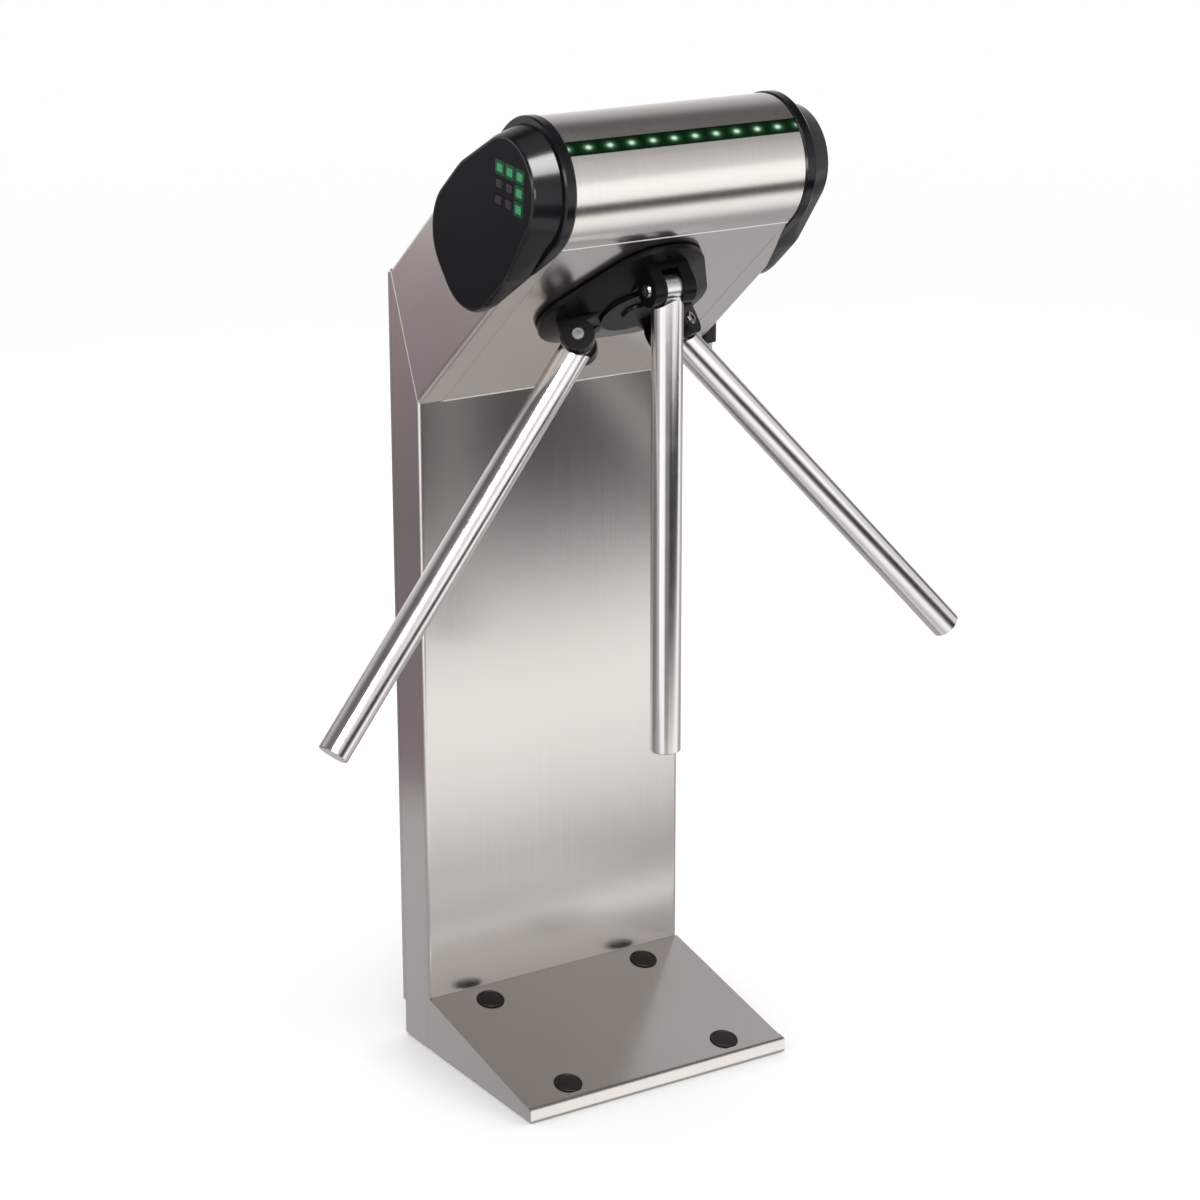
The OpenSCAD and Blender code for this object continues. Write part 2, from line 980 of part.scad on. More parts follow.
module board_spacers() {
    color("gray")
        at_board_corners()
            cylinder(d = board_spacer_d, h = board_spacer_h);
}

// Hub

// The side of one clevis ear, drawn in Y and Z around the hinge pin
module ear_side() {
    root_z = skin_z + rim_lift;
    translate([pivot_y, pivot_z])
        circle(ear_r);
    polygon([
        [pivot_y + ear_r * cos(180 + neck_angle), pivot_z - ear_r * sin(neck_angle)],
        [ear_root_in, skin_z + boss_h - rim_t],
        [ear_root_in, root_z],
        [ear_root_out, root_z],
        [pivot_y + ear_r * cos(ear_flare_angle), pivot_z - ear_r * sin(ear_flare_angle)],
        [pivot_y, pivot_z]
    ]);
}

module hub_casting() {
    rim_z = skin_z + rim_lift;
    color("dimgray")
        in_hub()
            difference() {
                union() {
                    hull()
                        for (place = arm_angles)
                            rotate([0, 0, place - drop_angle]) {
                                translate([0, rim_lobe, rim_z])
                                    cylinder(r = rim_lobe_r, h = rim_t, $fn = soft_fn);
                                translate([0, crown_lobe, skin_z + crown_h - run_gap])
                                    cylinder(r = crown_lobe_r, h = run_gap, $fn = soft_fn);
                            }
                    translate([0, 0, rim_z])
                        cylinder(r = boss_r, h = boss_h - rim_lift);
                    for (place = arm_angles)
                        rotate([0, 0, place - drop_angle])
                            across(-ear_out, 2 * ear_out)
                                ear_side();
                }
                for (place = arm_angles)
                    rotate([0, 0, place - drop_angle])
                        translate([0, pivot_y, pivot_z])
                            rotate([0, 90, 0]) {
                                translate([0, 0, -ear_out - cut_over])
                                    cylinder(d = pin_d + 2 * run_gap,
                                             h = 2 * ear_out + 2 * cut_over);
                                translate([0, 0, -ear_gap / 2])
                                    cylinder(r = tongue_r + mouth_gap, h = ear_gap);
                            }
                for (place = arm_angles)
                    rotate([0, 0, place - drop_angle])
                        translate([-ear_gap / 2, boss_r, skin_z + crown_h])
                            cube([ear_gap, 2 * pivot_r, 2 * pivot_r]);
            }
}

module hub_centre_cap() {
    color("black")
        in_hub()
            translate([0, 0, skin_z + boss_h])
                cylinder(d1 = centre_cap_d, d2 = centre_cap_d - centre_cap_t, h = centre_cap_t);
}

module hub_shaft() {
    color("silver")
        in_hub() {
            translate([0, 0, skin_z + rim_lift - hub_flange_t])
                cylinder(d = hub_flange_d, h = hub_flange_t);
            translate([0, 0, encoder_z - encoder_t])
                cylinder(d = shaft_d, h = skin_z - encoder_z);
            translate([0, 0, bridge_z - bridge_t - shaft_tail + seam_gap])
                cylinder(d = shaft_d / 2, h = encoder_z - bridge_z + bridge_t + shaft_tail);
        }
}

module index_disc() {
    color("goldenrod")
        in_hub()
            translate([0, 0, disc_end_z])
                difference() {
                    cylinder(r = disc_r, h = disc_t);
                    translate([0, 0, -cut_over])
                        cylinder(d = shaft_d + 2 * run_gap, h = disc_t + 2 * cut_over);
                    for (turn = [lever_angle, lever_angle + 120, lever_angle + 240])
                        rotate([0, 0, turn])
                            translate([roller_ring, 0, -cut_over])
                                cylinder(r = valley_r, h = disc_t + 2 * cut_over);
                }
}

module encoder_disc() {
    color("gray")
        in_hub()
            translate([0, 0, encoder_z])
                difference() {
                    cylinder(r = encoder_r, h = encoder_t);
                    translate([0, 0, -cut_over])
                        cylinder(d = shaft_d + 2 * run_gap, h = encoder_t + 2 * cut_over);
                    for (i = [0 : encoder_slots - 1])
                        rotate([0, 0, i * 360 / encoder_slots])
                            translate([encoder_r - encoder_slot_len - encoder_slot_w,
                                       -encoder_slot_w / 2, -cut_over])
                                cube([encoder_slot_len, encoder_slot_w,
                                      encoder_t + 2 * cut_over]);
                }
}

module arm_pin() {
    rotate([0, 90, 0])
        difference() {
            union() {
                translate([0, 0, -ear_out])
                    cylinder(d = pin_d, h = 2 * ear_out);
                translate([0, 0, -ear_out - pin_head_t])
                    cylinder(d1 = pin_head_d - pin_head_t, d2 = pin_head_d, h = pin_head_t);
                translate([0, 0, ear_out])
                    cylinder(d1 = pin_head_d, d2 = pin_head_d - pin_head_t, h = pin_head_t);
            }
            for (end = SIDES)
                translate([0, 0, end * (ear_out + pin_head_t)])
                    cylinder(d = pin_socket_d, h = 2 * pin_head_t, center = true, $fn = 6);
        }
}

module arm_pins() {
    color("silver")
        for (place = arm_angles)
            at_arm(place, 0)
                arm_pin();
}

// Arms, each drawn along Z from its hinge pin

module arm_root() {
    difference() {
        union() {
            rotate([0, 90, 0])
                cylinder(r = tongue_r, h = tongue_w, center = true);
            translate([-tongue_w / 2, -tongue_neck / 2, 0])
                cube([tongue_w, tongue_neck, root_start + cut_over]);
            translate([0, 0, root_start])
                cylinder(d = root_d, h = root_len);
        }
        rotate([0, 90, 0])
            cylinder(d = pin_d + 2 * run_gap, h = 2 * tongue_w, center = true);
    }
}

module arm_tube() {
    difference() {
        cylinder(d = arm_d, h = arm_len - tip_t);
        translate([0, 0, -cut_over])
            cylinder(d = arm_d - 2 * arm_wall, h = arm_len + cut_over);
        rotate([0, 90, 0])
            cylinder(r = mouth_r, h = 2 * arm_d, center = true);
    }
}

module arm_tip() {
    translate([0, 0, arm_len - tip_t]) {
        cylinder(d = arm_d, h = tip_t - tip_edge);
        translate([0, 0, tip_t - tip_edge])
            cylinder(d1 = arm_d, d2 = arm_d - 2 * tip_edge, h = tip_edge);
        translate([0, 0, -2 * tip_t])
            cylinder(d = root_d, h = 2 * tip_t);
    }
}

module arm_left_root() { color("lightgray") at_arm(left_angle, 0) arm_root(); }
module arm_left_tube() { color("silver") at_arm(left_angle, 0) arm_tube(); }
module arm_left_tip() { color("lightgray") at_arm(left_angle, 0) arm_tip(); }
module arm_right_root() { color("lightgray") at_arm(right_angle, 0) arm_root(); }
module arm_right_tube() { color("silver") at_arm(right_angle, 0) arm_tube(); }
module arm_right_tip() { color("lightgray") at_arm(right_angle, 0) arm_tip(); }
module arm_drop_root() { color("lightgray") at_arm(drop_angle, 90) arm_root(); }
module arm_drop_tube() { color("silver") at_arm(drop_angle, 90) arm_tube(); }
module arm_drop_tip() { color("lightgray") at_arm(drop_angle, 90) arm_tip(); }

base_plate();
foot_cover();
foot_plugs();
column_shell();
rear_cover();
inner_frame();
cheek_left();
cheek_right();
head_top_panel();
head_under_panel();
head_bulkheads();
lamp_window();
lamps();
lamp_board();
cap_left();
cap_right();
face_left();
face_right();
display_dots_left();
display_dots_right();
display_boards();
lock_body();
lock_barrel();
mechanism_plate();
bearing_housing();
bearings();
standoffs();
bridge_plate();
damper();
detent_lever();
detent_roller();
lock_pawls();
lock_coils();
control_board();
board_spacers();
hub_casting();
hub_centre_cap();
hub_shaft();
index_disc();
encoder_disc();
arm_pins();
arm_left_root();
arm_left_tube();
arm_left_tip();
arm_right_root();
arm_right_tube();
arm_right_tip();
arm_drop_root();
arm_drop_tube();
arm_drop_tip();
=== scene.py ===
"""Looks for the tripod turnstile: materials, small fittings, light and camera.

Every length is in metres, in the part's own frame.
"""

import json
import math

import bmesh
import bpy
from mathutils import Matrix, Vector


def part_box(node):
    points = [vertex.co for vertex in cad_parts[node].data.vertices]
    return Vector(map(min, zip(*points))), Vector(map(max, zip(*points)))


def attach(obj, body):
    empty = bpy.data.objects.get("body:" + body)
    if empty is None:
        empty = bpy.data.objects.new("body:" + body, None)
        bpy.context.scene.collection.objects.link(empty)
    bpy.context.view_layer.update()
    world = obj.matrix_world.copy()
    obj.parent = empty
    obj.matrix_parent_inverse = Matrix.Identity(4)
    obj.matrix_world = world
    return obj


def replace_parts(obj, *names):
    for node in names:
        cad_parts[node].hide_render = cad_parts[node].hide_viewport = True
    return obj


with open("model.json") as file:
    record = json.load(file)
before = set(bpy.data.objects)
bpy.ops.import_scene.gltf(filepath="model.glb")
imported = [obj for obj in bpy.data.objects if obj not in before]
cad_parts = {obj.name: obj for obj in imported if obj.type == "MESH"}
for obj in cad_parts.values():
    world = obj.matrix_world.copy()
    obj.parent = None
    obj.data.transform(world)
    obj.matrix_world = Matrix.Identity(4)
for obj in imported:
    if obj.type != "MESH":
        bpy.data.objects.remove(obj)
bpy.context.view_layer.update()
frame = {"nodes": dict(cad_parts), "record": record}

# Sizes taken from the frame
column_low, column_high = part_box("column_shell")
COLUMN_W = column_high.x - column_low.x
COLUMN_Y = column_low.y
REAR_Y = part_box("rear_cover")[1].y

# Sizes repeated from the part's source
FOOT_REACH = 0.212
FOOT_BACK_H = 0.061
FOOT_FRONT_H = 0.016
FOOT_NOSE_R = 0.007
ANCHOR_GAP_X = 0.2
ANCHOR_GAP_Y = 0.16
MITRE_H = 0.729
NECK_ANGLE = math.radians(40)
NECK_LEN = 0.312
HEAD_R = 0.068
CHEEK_W = 0.0295
LAMP_COUNT = 10
LAMP_MARGIN = 0.023
CAP_OUT = 0.01
DOT_PITCH_X = 0.0185
DOT_PITCH_Y = 0.016
DOTS_ALONG = -0.009
DOTS_OFF = -0.003
DOTS_ANGLE = math.radians(6)

# Sizes worked out from those above
FOOT_SLOPE = math.atan2(FOOT_BACK_H - FOOT_FRONT_H, FOOT_REACH - FOOT_NOSE_R)
PANEL_W = COLUMN_W - 2 * CHEEK_W
LAMP_PITCH = (PANEL_W - 2 * LAMP_MARGIN) / (LAMP_COUNT - 1)
CAP_FACE_X = COLUMN_W / 2 + CAP_OUT

# Directions, and the middle of the round head
ACROSS = Vector((1, 0, 0))
BACKWARD = Vector((0, 1, 0))
UPWARD = Vector((0, 0, 1))
DOWN_NECK = Vector((0, math.cos(NECK_ANGLE), -math.sin(NECK_ANGLE)))
OFF_NECK = Vector((0, math.sin(NECK_ANGLE), math.cos(NECK_ANGLE)))
HEAD = Vector((0, COLUMN_Y, MITRE_H)) - DOWN_NECK * NECK_LEN + OFF_NECK * HEAD_R


def on_neck(x, along, off):
    """A point given across the neck, down it from the head's axis, and square off it."""
    return HEAD + ACROSS * x + DOWN_NECK * along + OFF_NECK * off


# Materials


class Nodes:
    """A short way to write a node tree that ends in one output."""

    def __init__(self, tree, output="ShaderNodeOutputMaterial"):
        self.tree = tree
        tree.nodes.clear()
        self.output = self.add(output)

    def add(self, kind, **settings):
        node = self.tree.nodes.new(kind)
        for name, value in settings.items():
            setattr(node, name, value)
        return node

    def link(self, out, into):
        self.tree.links.new(out, into)

    def show(self, shader):
        """Sends a shader to the output."""
        self.link(shader, self.output.inputs["Surface"])

    def coordinates(self, kind="Object"):
        return self.add("ShaderNodeTexCoord").outputs[kind]

    def axis(self, vector, letter):
        """One coordinate of a vector."""
        split = self.add("ShaderNodeSeparateXYZ")
        self.link(vector, split.inputs["Vector"])
        return split.outputs[letter]

    def along(self, vector, way):
        """How far a vector reaches along a direction."""
        node = self.add("ShaderNodeVectorMath", operation="DOT_PRODUCT")
        self.link(vector, node.inputs[0])
        node.inputs[1].default_value = way
        return node.outputs["Value"]

    def noise(self, coords, scale, detail=3.0, rough=0.5, stretch=(1, 1, 1), tilt=0.0):
        """Noise from 0 to 1. The coordinates are tilted about X and then stretched."""
        if tilt:
            turn = self.add("ShaderNodeMapping")
            turn.inputs["Rotation"].default_value = (tilt, 0, 0)
            self.link(coords, turn.inputs["Vector"])
            coords = turn.outputs["Vector"]
        mapping = self.add("ShaderNodeMapping")
        mapping.inputs["Scale"].default_value = stretch
        self.link(coords, mapping.inputs["Vector"])
        noise = self.add("ShaderNodeTexNoise")
        noise.inputs["Scale"].default_value = scale
        noise.inputs["Detail"].default_value = detail
        noise.inputs["Roughness"].default_value = rough
        self.link(mapping.outputs["Vector"], noise.inputs["Vector"])
        return noise.outputs["Fac"]

    def ramp(self, fac, stops, smooth=False):
        """Colours by a value. Stops are (value, colour)."""
        ramp = self.add("ShaderNodeValToRGB")
        if smooth:
            ramp.color_ramp.interpolation = "EASE"
        elements = ramp.color_ramp.elements
        while len(elements) < len(stops):
            elements.new(0.5)
        for element, (at, colour) in zip(elements, stops):
            element.position = at
            element.color = (*colour, 1)
        self.link(fac, ramp.inputs["Fac"])
        return ramp.outputs["Color"]

    def spread(self, fac, low, high, start=0.25, end=0.75):
        """A value spread from the range start to end over the range low to high."""
        node = self.add("ShaderNodeMapRange")
        node.inputs["From Min"].default_value = start
        node.inputs["From Max"].default_value = end
        node.inputs["To Min"].default_value = low
        node.inputs["To Max"].default_value = high
        self.link(fac, node.inputs["Value"])
        return node.outputs["Result"]

    def maths(self, kind, a, b=None):
        """One sum. Each value is a number or a socket."""
        node = self.add("ShaderNodeMath", operation=kind)
        for i, value in enumerate((a, b)):
            if value is None:
                continue
            if isinstance(value, (int, float)):
                node.inputs[i].default_value = value
            else:
                self.link(value, node.inputs[i])
        return node.outputs["Value"]

    def bump(self, height, strength, distance):
        node = self.add("ShaderNodeBump")
        node.inputs["Strength"].default_value = strength
        node.inputs["Distance"].default_value = distance
        self.link(height, node.inputs["Height"])
        return node.outputs["Normal"]

    def mix(self, share, first, second):
        """Mixes two shaders: a share of 0 shows the first and 1 the second."""
        node = self.add("ShaderNodeMixShader")
        self.link(share, node.inputs["Fac"])
        self.link(first, node.inputs[1])
        self.link(second, node.inputs[2])
        return node.outputs["Shader"]


def node_material(name):
    """A new material with an empty node tree."""
    mat = bpy.data.materials.new(name)
    mat.use_nodes = True
    return mat, Nodes(mat.node_tree)


def material(name, metallic=0.0, rough=0.5, gloss=0.5):
    """A new material with its node helper, its shader and its object coordinates."""
    mat, n = node_material(name)
    shader = n.add("ShaderNodeBsdfPrincipled")
    shader.inputs["Metallic"].default_value = metallic
    shader.inputs["Roughness"].default_value = rough
    shader.inputs["Specular IOR Level"].default_value = gloss
    n.show(shader.outputs["BSDF"])
    return mat, n, shader, n.coordinates()


def two_tones(n, shader, fac, dark, light):
    """Colours a surface between a dark and a light tone."""
    n.link(n.ramp(fac, [(0.3, dark), (0.7, light)]), shader.inputs["Base Color"])


def uneven(n, shader, fac, rough, spread):
    """Lets the roughness wander by a spread to both sides."""
    n.link(n.spread(fac, rough - spread, rough + spread), shader.inputs["Roughness"])


def brushed(name, grain, dark, light, rough, anisotropic=0.0, tangent=None, scratch=0.12, tilt=0.0):
    """Satin stainless. Grain is the stretch of the noise: small along the brushing."""
    mat, n, shader, coords = material(name, metallic=1.0)
    shader.inputs["Anisotropic"].default_value = anisotropic
    if tangent:
        vector = n.add("ShaderNodeTangent", direction_type="RADIAL", axis=tangent)
        n.link(vector.outputs["Tangent"], shader.inputs["Tangent"])
    cloud = n.noise(coords, 3.5, detail=2.0)
    line = n.noise(coords, 1.0, detail=4.0, rough=0.7, stretch=grain, tilt=tilt)
    fine = n.noise(coords, 3.1, detail=2.0, rough=0.6, stretch=grain, tilt=tilt)
    tone = n.maths("ADD", n.maths("MULTIPLY", cloud, 0.6), n.maths("MULTIPLY", line, 0.4))
    two_tones(n, shader, tone, dark, light)
    mixed = n.maths("ADD", n.maths("MULTIPLY", line, 0.6), n.maths("MULTIPLY", cloud, 0.4))
    uneven(n, shader, mixed, rough, 0.035)
    n.link(n.bump(fine, scratch, 0.00003), shader.inputs["Normal"])
    return mat


def metal(name, dark, light, rough, scale=60.0, bump=0.1):
    """Plain metal, clouded at one scale and pitted at a finer one."""
    mat, n, shader, coords = material(name, metallic=1.0)
    cloud = n.noise(coords, scale, detail=4.0, rough=0.6)
    pits = n.noise(coords, scale * 9)
    two_tones(n, shader, cloud, dark, light)
    uneven(n, shader, cloud, rough, 0.04)
    n.link(n.bump(pits, bump, 0.0002), shader.inputs["Normal"])
    return mat


def plastic(name, dark, light, rough, scale, bump, depth=0.0002, gloss=0.5):
    """Moulded plastic with a fine grain."""
    mat, n, shader, coords = material(name, gloss=gloss)
    grain = n.noise(coords, scale, rough=0.6)
    cloud = n.noise(coords, 9.0)
    two_tones(n, shader, cloud, dark, light)
    uneven(n, shader, cloud, rough, 0.03)
    n.link(n.bump(grain, bump, depth), shader.inputs["Normal"])
    return mat


STEEL_DARK = (0.66, 0.615, 0.585)
STEEL_LIGHT = (0.73, 0.69, 0.66)
sheet_steel = brushed("sheet_steel", (700, 700, 5), STEEL_DARK, STEEL_LIGHT, 0.24, 0.6, "Z", 0.05)
cheek_steel = brushed("cheek_steel", (700, 5, 700), STEEL_DARK, STEEL_LIGHT, 0.3, tilt=NECK_ANGLE)
head_steel = brushed("head_steel", (700, 4, 4), STEEL_DARK, STEEL_LIGHT, 0.2)
foot_steel = brushed("foot_steel", (500, 4, 4), STEEL_DARK, STEEL_LIGHT, 0.18, scratch=0.03)
rear_steel = brushed("rear_steel", (700, 700, 5), STEEL_DARK, STEEL_LIGHT, 0.28, 0.5, "Z")
arm_steel = brushed("arm_steel", (40, 40, 40), (0.72, 0.69, 0.67), (0.79, 0.765, 0.745), 0.2, scratch=0.02)
# Paler than the sheets: a painted highlight for the seam lines
seam_highlight_steel = metal("seam_highlight_steel", (0.78, 0.76, 0.74), (0.86, 0.84, 0.82), 0.2, 80, 0.02)
pin_steel = metal("pin_steel", (0.24, 0.235, 0.23), (0.34, 0.33, 0.32), 0.24, 300, 0.05)
plated = metal("plated_steel", (0.62, 0.61, 0.59), (0.72, 0.71, 0.69), 0.26)
structure = metal("structure_steel", (0.2, 0.2, 0.205), (0.27, 0.27, 0.275), 0.45, 30, 0.3)
cast = metal("cast_aluminium", (0.5, 0.5, 0.5), (0.62, 0.62, 0.61), 0.42, 90, 0.5)
plug_black = plastic("plug_black", (0.012, 0.0085, 0.0075), (0.022, 0.016, 0.014), 0.42, 1200, 0.2,
                     gloss=0.18)
hub_black = plastic("hub_black", (0.002, 0.002, 0.0025), (0.004, 0.004, 0.005), 0.26, 900, 0.1, gloss=0.15)
cap_gloss = plastic("cap_gloss", (0.002, 0.002, 0.003), (0.005, 0.005, 0.007), 0.17, 60, 0.03, 0.0004,
                    gloss=0.32)
face_matte = plastic("face_matte", (0.0025, 0.0025, 0.004), (0.005, 0.005, 0.0075), 0.42, 1400, 0.2,
                     gloss=0.07)
black_plastic = plastic("black_plastic", (0.012, 0.011, 0.011), (0.024, 0.022, 0.021), 0.45, 1200, 0.25,
                        gloss=0.18)
board_green = plastic("circuit_board", (0.01, 0.07, 0.03), (0.02, 0.11, 0.05), 0.4, 200, 0.2)
winding = plastic("coil_winding", (0.3, 0.07, 0.03), (0.42, 0.12, 0.05), 0.35, 300, 0.5)


def lamp_material(name, core, strength, dark):
    """A small lens that glows in the colour core over a dark base."""
    mat, n, shader, coords = material(name, rough=0.25, gloss=0.12)
    shader.inputs["Base Color"].default_value = (*dark, 1)
    cloud = n.noise(coords, 260, detail=2.0)
    shaded = [c * 0.85 for c in core]
    n.link(n.ramp(cloud, [(0.25, shaded), (0.75, core)]), shader.inputs["Emission Color"])
    shader.inputs["Emission Strength"].default_value = strength
    return mat


dot_lit = lamp_material("dot_lit", (0.045, 0.26, 0.1), 1.0, (0.0, 0.02, 0.01))
dot_rim = lamp_material("dot_rim", (0.0, 0.036, 0.013), 1.0, (0.0, 0.012, 0.006))
dot_dim = lamp_material("dot_dim", (0.02, 0.014, 0.022), 0.8, (0.01, 0.008, 0.01))
dot_dim_rim = lamp_material("dot_dim_rim", (0.006, 0.005, 0.008), 0.8, (0.006, 0.005, 0.006))

# The glow around a lamp, by the distance from it in centimetres across the strip
GLOW = [
    (0.0, (0.72, 0.88, 0.74)),
    (0.14, (0.5, 0.66, 0.52)),
    (0.24, (0.13, 0.24, 0.14)),
    (0.37, (0.02, 0.07, 0.03)),
    (0.55, (0.002, 0.02, 0.006)),
    (0.8, (0.0, 0.006, 0.001)),
]
GLOW_ACROSS = 100.0
GLOW_ALONG = 62.0


def strip_material(name, base, rough):
    """Glows by the distance from the nearest lamp of the strip, and reaches further along it than across."""
    mat, n, shader, coords = material(name, rough=rough, gloss=0.2)
    shader.inputs["Base Color"].default_value = (*base, 1)

    # Each pitch has its lamp in the middle. The whole pitches that are added keep the count above zero.
    first_pitch = 100.0 + 0.5 * (LAMP_COUNT % 2)
    pitches = n.maths("DIVIDE", n.axis(coords, "X"), LAMP_PITCH)
    part = n.maths("FRACT", n.maths("ADD", pitches, first_pitch))
    along = n.maths("MULTIPLY", n.maths("SUBTRACT", part, 0.5), LAMP_PITCH * GLOW_ALONG)

    off = n.along(coords, OFF_NECK)
    across = n.maths("MULTIPLY", n.maths("SUBTRACT", off, HEAD.dot(OFF_NECK)), GLOW_ACROSS)
    squares = n.maths("ADD", n.maths("MULTIPLY", along, along), n.maths("MULTIPLY", across, across))
    cloud = n.maths("SUBTRACT", n.noise(coords, 500, detail=2.0), 0.5)
    away = n.maths("ADD", n.maths("SQRT", squares), n.maths("MULTIPLY", cloud, 0.08))
    n.link(n.ramp(away, GLOW), shader.inputs["Emission Color"])
    shader.inputs["Emission Strength"].default_value = 1.0
    return mat


lamp_lit = strip_material("lamp_lit", (0.02, 0.05, 0.03), 0.2)
window_green = strip_material("lamp_window", (0.001, 0.004, 0.002), 0.14)

SLOT_OF = {s["node"]: s["material_slot"] for s in frame["record"]["subparts"]}
BY_SLOT = {
    "brushed_steel": sheet_steel,
    "bright_steel": arm_steel,
    "plated_steel": plated,
    "structure_steel": structure,
    "cast_aluminium": cast,
    "hub_black": hub_black,
    "black_plastic": black_plastic,
    "black_gloss_plastic": cap_gloss,
    "black_matte_plastic": face_matte,
    "lamp_window": window_green,
    "lamp_green": lamp_lit,
    "circuit_board": board_green,
    "coil_winding": winding,
}
BY_NODE = {
    "head_top_panel": head_steel,
    "head_under_panel": head_steel,
    "cheek_left": cheek_steel,
    "cheek_right": cheek_steel,
    "foot_cover": foot_steel,
    "rear_cover": rear_steel,
    "arm_pins": pin_steel,
}


def dress(obj, mat):
    """Gives one material to an object, in its own slot, and leaves its mesh alone."""
    if not obj.material_slots:
        obj.data.materials.append(mat)
    for slot in obj.material_slots:
        slot.link = "OBJECT"
        slot.material = mat


for name, obj in frame["nodes"].items():
    dress(obj, BY_NODE.get(name, BY_SLOT[SLOT_OF[name]]))


# Tools for small fittings


def mesh_object(name, bm, mat):
    """Turns a bmesh into an object with one material."""
    mesh = bpy.data.meshes.new(name)
    bm.to_mesh(mesh)
    bm.free()
    mesh.materials.append(mat)
    obj = bpy.data.objects.new(name, mesh)
    bpy.context.scene.collection.objects.link(obj)
    return obj


def piece(name, bm, mat):
    """A piece on the frame, shaded smooth between its sharp edges."""
    bmesh.ops.recalc_face_normals(bm, faces=bm.faces)
    obj = mesh_object(name, bm, mat)
    obj.data.shade_smooth()
    obj.data.set_sharp_from_angle(angle=math.radians(38))
    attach(obj, "frame")
    return obj


def frame_at(point, z_axis, x_axis=ACROSS):
    """A place with Z along z_axis and X near x_axis."""
    z = z_axis.normalized()
    y = z.cross(x_axis).normalized()
    x = y.cross(z)
    place = Matrix((x, y, z)).transposed().to_4x4()
    place.translation = point
    return place


def wall(bm, rings):
    """Joins each ring of points to the next."""
    for low, high in zip(rings, rings[1:]):
        for i in range(len(low)):
            j = (i + 1) % len(low)
            bm.faces.new((low[i], low[j], high[j], high[i]))


def closed_wall(bm, rings):
    """Joins rings of points, closes both ends, and gives the last end."""
    wall(bm, rings)
    bm.faces.new(list(reversed(rings[0])))
    return bm.faces.new(rings[-1])


def turned(bm, outline, place, steps=48):
    """A turned form. Its outline is a list of (radius, height), first and last on the axis or open."""
    rings = []
    for radius, height in outline:
        ring = []
        for i in range(steps if radius else 1):
            turn = math.tau * i / steps
            point = Vector((radius * math.cos(turn), radius * math.sin(turn), height))
            ring.append(bm.verts.new(place @ point))
        rings.append(ring)
    for low, high in zip(rings, rings[1:]):
        for i in range(steps):
            j = (i + 1) % steps
            if len(low) == 1:
                bm.faces.new((low[0], high[i], high[j]))
            elif len(high) == 1:
                bm.faces.new((low[i], low[j], high[0]))
            else:
                bm.faces.new((low[i], low[j], high[j], high[i]))


def evenly(start, end, count):
    """Points at even steps from start to end."""
    return [start.lerp(end, i / (count - 1)) for i in range(count)]


def bead(bm, path, wide, tall, off, sides=10):
    """A low rounded strip along a path of points. Off is the way it stands."""
    rings = []
    for k, point in enumerate(path):
        ahead = (path[min(k + 1, len(path) - 1)] - path[max(k - 1, 0)]).normalized()
        side = ahead.cross(off).normalized()
        up = side.cross(ahead).normalized()
        ring = []
        for i in range(sides):
            turn = math.tau * i / sides
            reach = side * (wide / 2 * math.cos(turn)) + up * (tall * math.sin(turn))
            ring.append(bm.verts.new(point + reach))
        rings.append(ring)
    closed_wall(bm, rings)


def soft_square(bm, place, width, height, thick, corner, dome, middle=1, corner_steps=4):
    """A rounded square lens with a softened edge. Its middle takes the second material, or the one given."""
    levels = [(0.0, 1.0), (thick - dome, 1.0), (thick - dome * 0.35, 0.955), (thick, 0.9), (thick, 0.84)]
    rings = []
    for level, share in levels:
        ring = []
        for quarter, (cx, cy) in enumerate(((1, 1), (-1, 1), (-1, -1), (1, -1))):
            for k in range(corner_steps + 1):
                turn = math.radians(90 * (quarter + k / corner_steps))
                x = cx * (width / 2 - corner) + corner * math.cos(turn)
                y = cy * (height / 2 - corner) + corner * math.sin(turn)
                ring.append(bm.verts.new(place @ Vector((x * share, y * share, level))))
        rings.append(ring)
    closed_wall(bm, rings).material_index = middle


def smoothed(name, node, mat, body, angle):
    """The same form as a CAD node, with its facets shaded as one rounded surface."""
    bm = bmesh.new()
    bm.from_mesh(frame["nodes"][node].data)
    bmesh.ops.remove_doubles(bm, verts=bm.verts, dist=0.00001)
    bmesh.ops.dissolve_limit(bm, angle_limit=math.radians(0.5), verts=bm.verts, edges=bm.edges)
    for face in bm.faces:
        face.smooth = True
    for edge in bm.edges:
        edge.smooth = edge.calc_face_angle(math.pi) < math.radians(angle)
    obj = mesh_object(name, bm, mat)
    weights = obj.modifiers.new("weights", "WEIGHTED_NORMAL")
    weights.weight = 90
    weights.keep_sharp = True
    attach(obj, body)
    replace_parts(obj, node)


# Small fittings

# From the skirt up: the rolled edge, the groove and the low dome of a plug
PLUG_OUTLINE = [
    (0, -0.009), (0.0132, -0.009), (0.0132, 0.00015),
    (0.0152, 0.00018), (0.0155, 0.0006), (0.0153, 0.0013), (0.0147, 0.0019), (0.0138, 0.0021),
    (0.0129, 0.0019), (0.0124, 0.0014), (0.0118, 0.0013), (0.0112, 0.0016),
    (0.010, 0.0019), (0.006, 0.00205), (0, 0.0021),
]

# From the shank up: the low dome of a screw's head and its round socket
SCREW_OUTLINE = [
    (0, -0.002), (0.0044, -0.002), (0.0046, 0.0001), (0.0042, 0.0005), (0.003, 0.0008),
    (0.0019, 0.0009), (0.0017, 0.0002), (0, 0.0002),
]


# A display's squares and the thin halo of a lit one: width, height, thickness, corner and dome
SQUARE = (0.0122, 0.0097, 0.0014, 0.0016, 0.0005)
HALO = (0.0172, 0.0147, 0.0002, 0.0024, 0.0001)
SQUARE_SINK = 0.0011
HALO_LIFT = 0.00105


